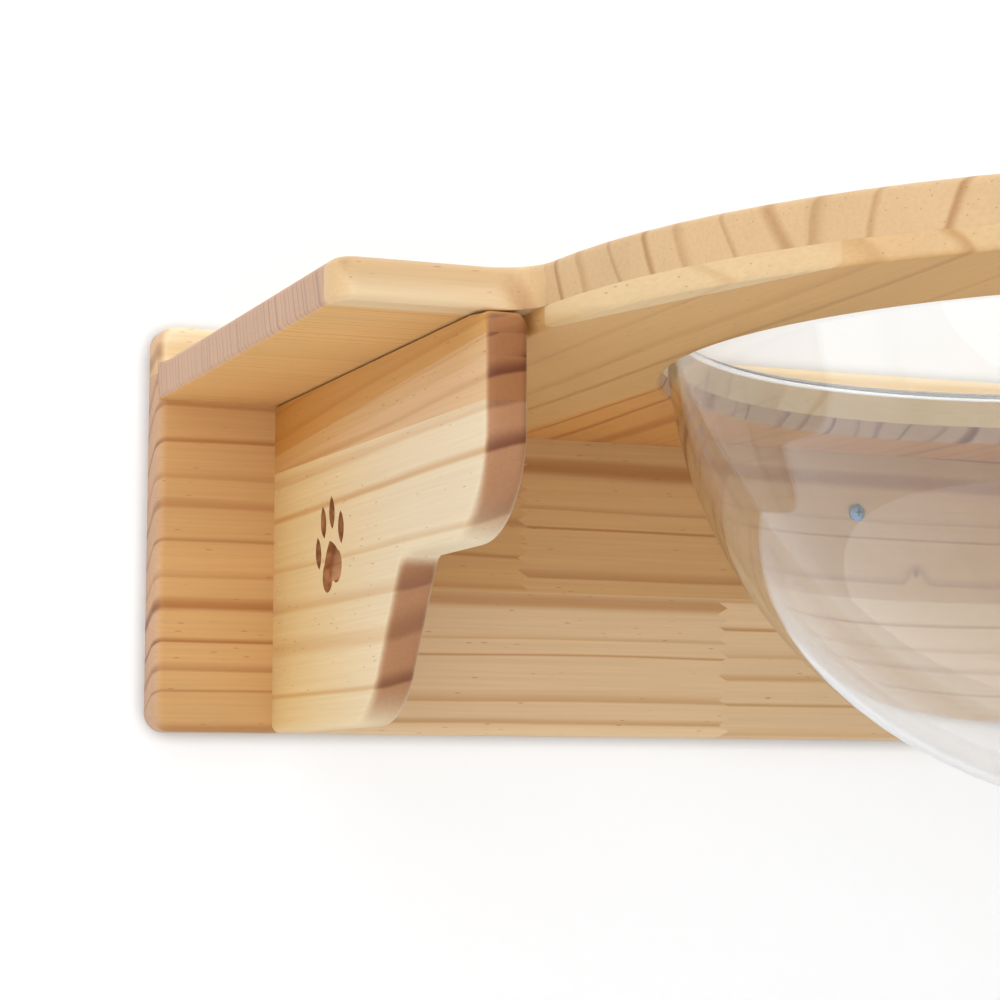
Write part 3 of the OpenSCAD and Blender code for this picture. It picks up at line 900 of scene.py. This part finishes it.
# %% Brackets' pine
HEART_END = ["#99663F", "#5F2C18"]
SAP = ["#E8D6B6", "#D0A877", "#AC7C58", "#6E3A24"]
PEACH = ["#DCB78C", "#CDA272", *HEART_END]
TAN = ["#DBB483", "#CC9F6B", *HEART_END]
ORANGE = ["#CF9E5E", "#BD8242", *HEART_END]
# The brackets' end grain soaks up oil, and towards the back board they get painted shade and warm bounce
# light.
BRACKET_SOAK_AND_PAINTED_BOUNCE = {"soak": 0.32, "painted_bounce": (-200.0, -10.0)}
pine_left = pine("pine_left_bracket", ["Y", "Z", "X"], [
    zone((140.0, -305.0), 17.0, SAP),
    zone((140.0, -305.0), 15.0, PEACH, slope=0.02, where=[("across", "GREATER_THAN", 6.6, -0.011)]),
    zone((140.0, -305.0), 9.0, TAN, slope=0.04, where=[("across", "GREATER_THAN", 7.7, 0.0415)]),
    zone((140.0, -305.0), 11.0, ORANGE, slope=0.05, where=[("across", "GREATER_THAN", 12.6, 0.0525)])],
    seed=2600.0, **BRACKET_SOAK_AND_PAINTED_BOUNCE)
pine_right = pine("pine_right_bracket", ["Y", "Z", "X"], [
    zone((120.0, 310.0), 15.0, SAP, slope=-0.05),
    zone((120.0, 310.0), 15.0, PEACH, slope=-0.05, where=[("across", "GREATER_THAN", 12.0, -0.05)])],
    seed=3400.0, **BRACKET_SOAK_AND_PAINTED_BOUNCE)
print(pine_left.name, pine_right.name, len(pine_left.node_tree.nodes), "nodes")

# %% [markdown]
# ## Paw print
#
# The print is cut 3 mm into the outer face of each bracket by a laser, which leaves the walls and the
# floor brown. The toes are leaves between two circles. The pad is the union of two round lobes and a
# pointed crown: seen from a point inside all of them, its outline is the farthest of their edges in
# every direction, which is one formula.

# %% Outlines of the paw print
PAD_W = 24 * MM
PAD_STEPS = 160
PAD_LOBE = (0.2375, -0.0875)
PAD_LOBE_R = 0.2625
PAD_CROWN = (0.428, -0.46)
PAD_CROWN_R = 0.99
PAD_BASE = (0, 0.25)
PAD_BASE_R = 0.5
TOE_L = 13 * MM
TOE_W = 6.8 * MM


def turn_by(points, degrees):
    """Points turned anticlockwise about the origin."""
    turn = math.radians(degrees)
    return points @ np.array([[math.cos(turn), math.sin(turn)], [-math.sin(turn), math.cos(turn)]])


def way_out(start, directions, centre, radius):
    """How far it is from a point inside a circle to its edge, in each direction."""
    away = start - np.array(centre)
    along = directions @ away
    return -along + np.sqrt(along ** 2 - away @ away + radius ** 2)


def pad_outline():
    """The farthest edge of the two lobes and the crown, which is what three circles share.
    The circles are given in shares of the pad's width."""
    turn = np.linspace(0, 2 * math.pi, PAD_STEPS, endpoint=False)
    directions = np.stack([np.cos(turn), np.sin(turn)], 1)
    start = np.array([0, PAD_LOBE[1]])
    lobes = [way_out(start, directions, [s * PAD_LOBE[0], PAD_LOBE[1]], PAD_LOBE_R) for s in (-1, 1)]
    crown = [way_out(start, directions, [s * PAD_CROWN[0], PAD_CROWN[1]], PAD_CROWN_R) for s in (-1, 1)]
    base = way_out(start, directions, PAD_BASE, PAD_BASE_R)
    reach = np.maximum(np.maximum(*lobes), np.minimum(np.minimum(*crown), base))
    return (start + directions * reach[:, None]) * PAD_W


def toe_outline(place, lean):
    """A leaf: the arcs of two circles that cross at its ends."""
    radius = ((TOE_L / 2) ** 2 / (TOE_W / 2) + TOE_W / 2) / 2
    half = math.degrees(math.asin(TOE_L / 2 / radius))
    reach = radius - TOE_W / 2
    sides = [arc([-reach, 0], radius, -half, half)[:-1], arc([reach, 0], radius, 180 - half, 180 + half)[:-1]]
    return turn_by(np.concatenate(sides), lean) + np.array(place) * PAD_W


# %% Cutters for the paw print
PAW_DEPTH = 3 * MM
PAW_Y = 77.5 * MM
PAW_H = 62 * MM
PAW_TILT = 16
TOE_PLACES = [(0.225, 0.835), (0.6, 0.44)]
TOE_SPLAY = 2
TOE_LEAN = 6


def paw_cutters(outer_x, side):
    """Prisms from just outside a bracket's outer face to the floor of the print."""
    outlines = [pad_outline()]
    for s in (-1, 1):
        outlines += [toe_outline((s * x, y), TOE_LEAN - s * TOE_SPLAY) for x, y in TOE_PLACES]
    cutters = []
    for outline in outlines:
        flat = turn_by(outline, -PAW_TILT) + [BACK_FRONT - PAW_Y, bracket_low[2] + PAW_H]
        count = len(flat)
        layers = [np.c_[np.full(count, outer_x + side * depth), flat] for depth in (-OVERCUT, PAW_DEPTH)]
        cutters.append(loft("paw_cutter", np.stack(layers), capped=True))
    return cutters


# %% Laser-cut pine
# A laser's scorch gives the eye a dull brown in which the grain still shows.
SCORCH_GRAIN = (4.0, 60.0, 5.0)
scorched_pine, burnt = new_material("laser_cut_pine")
burnt_grain = stretched(burnt, place_in_mm(burnt), SCORCH_GRAIN, 2.0)
burnt_grain = add(burnt, "MapRange", {0: burnt_grain, 1: 0.35, 2: 0.65}, **EASED)
burnt_colour = add(burnt, "Mix", {0: burnt_grain, 6: linear("#C08A5A"), 7: linear("#955C34")}, **COLOURS)
burnt_shader = add(burnt, "BsdfPrincipled", {"Base Color": burnt_colour, "Roughness": 0.7})
add(burnt, "OutputMaterial", {"Surface": burnt_shader})
print(scorched_pine.name, len(burnt.nodes), "nodes")

# %% [markdown]
# ## Drilling
#
# Every fastener has its hole, as in the solids. The screws that hold the boards together are sunk into
# the rear of the back board, so these holes show from behind. A drill is a turned profile, and the
# Boolean cut gives the hole the board's own wood.

# %% Drills
DOWEL_HOLE_R = 4.1 * MM
PILOT_R = 2.05 * MM
HOLE_PLAY = 0.25 * MM
DRILL_STEPS = 48
END_GAP = 0.8 * MM
SINK = 0.3 * MM


def drill(profile, origin, direction=0):
    """A drill's shape, turned from its profile: along +y or -y, or upright."""
    points = turned(np.array(profile), DRILL_STEPS)
    points = facing(points, origin, direction) if direction else points + origin
    return loft("drill", points)


def bore(radius, start, end):
    """The profile of a plain drill from one height to another."""
    return [[0, start], [radius, start], [radius, end], [0, end]]


wood = {"back": (back_board, pine_back), "shelf": (shelf_board, pine_shelf),
        "support": (support_board, pine_support), "left": (left_bracket, pine_left),
        "right": (right_bracket, pine_right)}
drills = {name: [] for name in wood}
for board, material in wood.values():
    board.data.materials.append(material)

# %% Holes and prints
loose = BOARD + OVERCUT
sunk = [[0, -OVERCUT], [HEAD_R + HOLE_PLAY, -OVERCUT], [HEAD_R + HOLE_PLAY, SINK],
        [SHANK_R, SINK + HEAD_R - SCREW_R], [SHANK_R, loose], [0, loose]]
for node in screws:
    low, high = span(node)
    x, _, z = (low + high) / 2
    if node.startswith("wall"):
        drills["back"].append(drill(bore(SHANK_R + HOLE_PLAY, -OVERCUT, loose), [x, BACK_FRONT, z], 1))
    else:
        pilot = bore(PILOT_R, BOARD - OVERCUT, -low[1] + END_GAP)
        drills["back"].append(drill(sunk, [x, 0, z], -1))
        drills[node.split("_")[0]].append(drill(pilot, [x, 0, z], -1))
for node in dowels:
    low, high = span(node)
    x, y, z = (low + high) / 2
    if node.startswith("shelf"):
        socket = bore(DOWEL_HOLE_R, -high[1] - END_GAP, -low[1] + END_GAP)
        for board in ("back", "shelf"):
            drills[board].append(drill(socket, [x, 0, z], -1))
    else:
        socket = bore(DOWEL_HOLE_R, low[2] - END_GAP, high[2] + END_GAP)
        for board in ("shelf", node.split("_")[0]):
            drills[board].append(drill(socket, [x, y, 0]))
for name, (board, _) in wood.items():
    cut_out(board, drills[name])
cut_out(left_bracket, paw_cutters(bracket_low[0], 1), scorched_pine)
cut_out(right_bracket, paw_cutters(-bracket_low[0], -1), scorched_pine)
print(sum(map(len, drills.values())), "holes drilled, two paw prints cut")

# %% [markdown]
# ## Acrylic, zinc and beech
#
# Clear acrylic bends light by 1.49. Each of its faces mirrors a few percent of what is in front of it,
# and that lays a soft veil over what lies behind. Its shadow would be black in a render that can't focus
# light through a lens, so lamps pass it: where a ray only asks whether a lamp is in sight, the bowl
# counts as open. The sawn edge of its rim is matt. The screws are bluish zinc plate with a dark cross,
# and the dowels are pale, even beech.

# %% Acrylic
# Polished acrylic gives the eye a clear view with a faint veil, and a bright line along its outline.
clear_acrylic, acrylic = new_material("clear_acrylic")
shadow = add(acrylic, "LightPath", {}, out="Is Shadow Ray")
glass = add(acrylic, "BsdfPrincipled", {"Base Color": linear("#F7F8F8"), "Roughness": 0.015, "IOR": 1.49,
                                        "Transmission Weight": 1.0, "Specular IOR Level": 0.34})
open_way = add(acrylic, "BsdfTransparent", {"Color": linear("#E4E6E6")})
acrylic_mix = add(acrylic, "MixShader", {0: shadow, 1: glass, 2: open_way})
add(acrylic, "OutputMaterial", {"Surface": acrylic_mix})

# A saw leaves acrylic frosted, which gives the eye a white line round the rim.
sawn_acrylic, sawn = new_material("sawn_acrylic_edge")
sawn_shader = add(sawn, "BsdfPrincipled", {"Base Color": linear("#F2F4F5"), "Roughness": 0.6})
add(sawn, "OutputMaterial", {"Surface": sawn_shader})
bowl.data.materials.append(clear_acrylic)
bowl.data.materials.append(sawn_acrylic)
bowl.data.polygons.foreach_set("material_index", sawn_faces)
print([material.name for material in bowl.data.materials])

# %% Zinc, and dark steel as painted shade in the cross
# Blue zinc plate gives the eye a cool, cloudy shine. Its clouds are about a millimetre wide.
ZINC_CLOUDS = 0.9 / MM
zinc_plate, zinc = new_material("blue_zinc_plate")
zinc_spot = add(zinc, "TexCoord", {}, out="Object")
zinc_cloud = add(zinc, "TexNoise", {"Vector": zinc_spot, "Scale": ZINC_CLOUDS, "Detail": 2.0})
zinc_rough = add(zinc, "MapRange", {0: zinc_cloud, 3: 0.28, 4: 0.45})
zinc_shader = add(zinc, "BsdfPrincipled", {"Base Color": linear("#6890B8"), "Metallic": 1.0,
                                           "Roughness": zinc_rough})
add(zinc, "OutputMaterial", {"Surface": zinc_shader})

# The cross is dark steel that stands for the shade in its recess, which gives the eye a dark mark.
cross_shade_steel, steel = new_material("dark_steel_as_painted_shade_in_the_cross")
steel_shader = add(steel, "BsdfPrincipled", {"Base Color": linear("#1B2836"), "Metallic": 1.0,
                                             "Roughness": 0.6})
add(steel, "OutputMaterial", {"Surface": steel_shader})
for node, made in screws.items():
    made.data.materials.append(zinc_plate)
    cut_out(made, [tips[node]], cross_shade_steel)
print(len(screws), "screws plated and their crosses cut")

# %% Beech
# Beech gives the eye an even tan with fine specks, a little over a millimetre apart.
BEECH_SPECKS = 0.7 / MM
beech_wood, beech = new_material("beech")
beech_spot = add(beech, "TexCoord", {}, out="Object")
beech_grain = add(beech, "TexNoise", {"Vector": beech_spot, "Scale": BEECH_SPECKS, "Detail": 2.0})
beech_colour = add(beech, "Mix", {0: beech_grain, 6: linear("#D9B98F"), 7: linear("#C29A6B")}, **COLOURS)
beech_shader = add(beech, "BsdfPrincipled", {"Base Color": beech_colour, "Roughness": 0.6})
add(beech, "OutputMaterial", {"Surface": beech_shader})
for made in dowels.values():
    made.data.materials.append(beech_wood)
print(beech_wood.name, "on", len(dowels), "dowels")

# %% [markdown]
# ## Each piece takes the place of its solid
#
# A piece rides on the body that its solid belongs to, so the bowl can be lifted out while the rest stays.

# %% Bodies
pieces = {"back_board": (back_board, "pine_back"), "shelf_board": (shelf_board, "pine_shelf"),
          "bowl_support_board": (support_board, "pine_support"),
          "left_bracket": (left_bracket, "pine_bracket"), "right_bracket": (right_bracket, "pine_bracket"),
          "bowl": (bowl, "clear_acrylic")}
pieces.update({node: (made, "zinc_plated_steel") for node, made in screws.items()})
pieces.update({node: (made, "beech_dowel") for node, made in dowels.items()})
for node, (made, slot) in pieces.items():
    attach(made, "bowl" if node == "bowl" else "frame")
    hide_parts(node)
print(len(pieces), "pieces stand for", len(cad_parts), "solids")

# %% [markdown]
# ## Wall, light and camera
#
# The shelf hangs on a white wall. The wall is a plane just inside the back board's rear face. It is
# drawn only from the front, so a view from behind shows the screws. Its paint is lifted to white for the
# camera, less so within a few mm of the boards, where ambient occlusion finds them near. That leaves a
# soft grey line round the back board, as in a bright studio, and keeps the rest white. The floor stops
# short of the wall, so that no such line shows in the corner.

# %% Wall and floor
WALL_Y = -0.5 * MM
WALL_TOP = 1.1
FLOOR_Z = -1.2
ROOM_REACH = 4
CONTACT = 8 * MM


def seen_directly(tree):
    """1 for a ray that shows something to the camera, straight or through the bowl or mirrored in it."""
    path = add(tree, "LightPath", {}).node.outputs
    seen = add(tree, "Math", {0: path["Is Camera Ray"], 1: path["Is Transmission Ray"]}, operation="MAXIMUM")
    return add(tree, "Math", {0: seen, 1: path["Is Glossy Ray"]}, operation="MAXIMUM")


# Matt wall paint gives the eye an even white without any shine.
white_paint, paint = new_material("white_wall_paint")
seen = seen_directly(paint)
paint_colour = add(paint, "Mix", {0: seen, 6: linear("#F4F3F1"), 7: linear("#CBCCCE")}, **COLOURS)
near = add(paint, "AmbientOcclusion", {"Distance": CONTACT}, out=1, samples=8)
paint_lift = add(paint, "MapRange", {0: near, 1: 0.5, 2: 0.92, 3: 0.05, 4: 0.44})
paint_lift = add(paint, "Math", {0: seen, 1: paint_lift}, operation="MULTIPLY")
painted = add(paint, "BsdfPrincipled", {"Base Color": paint_colour, "Roughness": 0.9,
                                        "Specular IOR Level": 0.0, "Emission Color": linear("#FFFFFF"),
                                        "Emission Strength": paint_lift})
behind = add(paint, "NewGeometry", {}, out="Backfacing")
paint_mix = add(paint, "MixShader", {0: behind, 1: painted, 2: add(paint, "BsdfTransparent", {})})
add(paint, "OutputMaterial", {"Surface": paint_mix})
room_edges = [(-ROOM_REACH, FLOOR_Z), (-2 * CONTACT, FLOOR_Z), (WALL_Y, FLOOR_Z), (WALL_Y, WALL_TOP)]
room_points = [[x, y, z] for y, z in room_edges for x in (-ROOM_REACH, ROOM_REACH)]
room_mesh = bpy.data.meshes.new("room")
room_mesh.from_pydata(room_points, [], [[0, 1, 3, 2], [4, 5, 7, 6]])
room_mesh.materials.append(white_paint)
room = bpy.data.objects.new("room", room_mesh)
bpy.context.scene.collection.objects.link(room)
print(room.name, len(room_mesh.polygons), "faces")

# %% [markdown]
# Four round softboxes light the shelf: one overhead, two in front, and a broad dim one on the right. The
# bowl mirrors them. The one overhead draws the round veil in its lower part, and beside it the dim one
# leaves the acrylic clear. The lamps themselves stay out of view, and the world is white wherever the
# camera sees it, straight or mirrored.

# %% Light
world = bpy.data.worlds.new("studio")
bpy.context.scene.world = world
world.use_nodes = True
sky = world.node_tree
sky.nodes.clear()
sky_level = add(sky, "MapRange", {0: seen_directly(sky), 3: 0.25, 4: 1.0})
sky_light = add(sky, "Background", {"Color": linear("#FFFFFF"), "Strength": sky_level})
add(sky, "OutputWorld", {"Surface": sky_light})


def softbox(name, place, aim, size, power):
    """A round lamp turned from its place to the point it is aimed at, in metres and watts."""
    lamp = bpy.data.lights.new(name, "AREA")
    lamp.shape = "DISK"
    lamp.size = size
    lamp.energy = power
    made = bpy.data.objects.new(name, lamp)
    made.visible_camera = False
    made.visible_transmission = False
    made.location = place
    made.rotation_euler = (Vector(aim) - Vector(place)).to_track_quat("-Z", "Y").to_euler()
    bpy.context.scene.collection.objects.link(made)
    print(name, size, "m", power, "W")


softbox("ceiling", (0.1, -0.45, 1.15), (0.1, -0.4, 0), 2.9, 27)
softbox("side", (1.7, -1.8, 0.6), (0, -0.25, 0), 3.0, 7)
softbox("key", (-1.9, -1.7, 0.4), (0, -0.2, 0), 2.9, 23)
softbox("front", (-0.5, -2.2, -0.75), (0, -0.1, 0), 2.4, 22)

# %% [markdown]
# The camera stands to the left of the shelf and below it, so the underside and the outer face of the
# left bracket both show. A long lens keeps the boards' edges nearly parallel.

# %% Camera
LENS = 94.683
SENSOR = 36
CAMERA_PLACE = (-0.5805856, -1.0530807, -0.1276823)
CAMERA_TURN = (96.5314, -0.0925, -21.601)
camera_data = bpy.data.cameras.new("camera")
camera_data.lens = LENS
camera_data.sensor_width = SENSOR
camera = bpy.data.objects.new("camera", camera_data)
camera.location = CAMERA_PLACE
camera.rotation_euler = [math.radians(angle) for angle in CAMERA_TURN]
bpy.context.scene.collection.objects.link(camera)
bpy.context.scene.camera = camera
bpy.context.scene.view_settings.view_transform = "Standard"
print("camera at", CAMERA_PLACE, "lens", LENS, "mm")
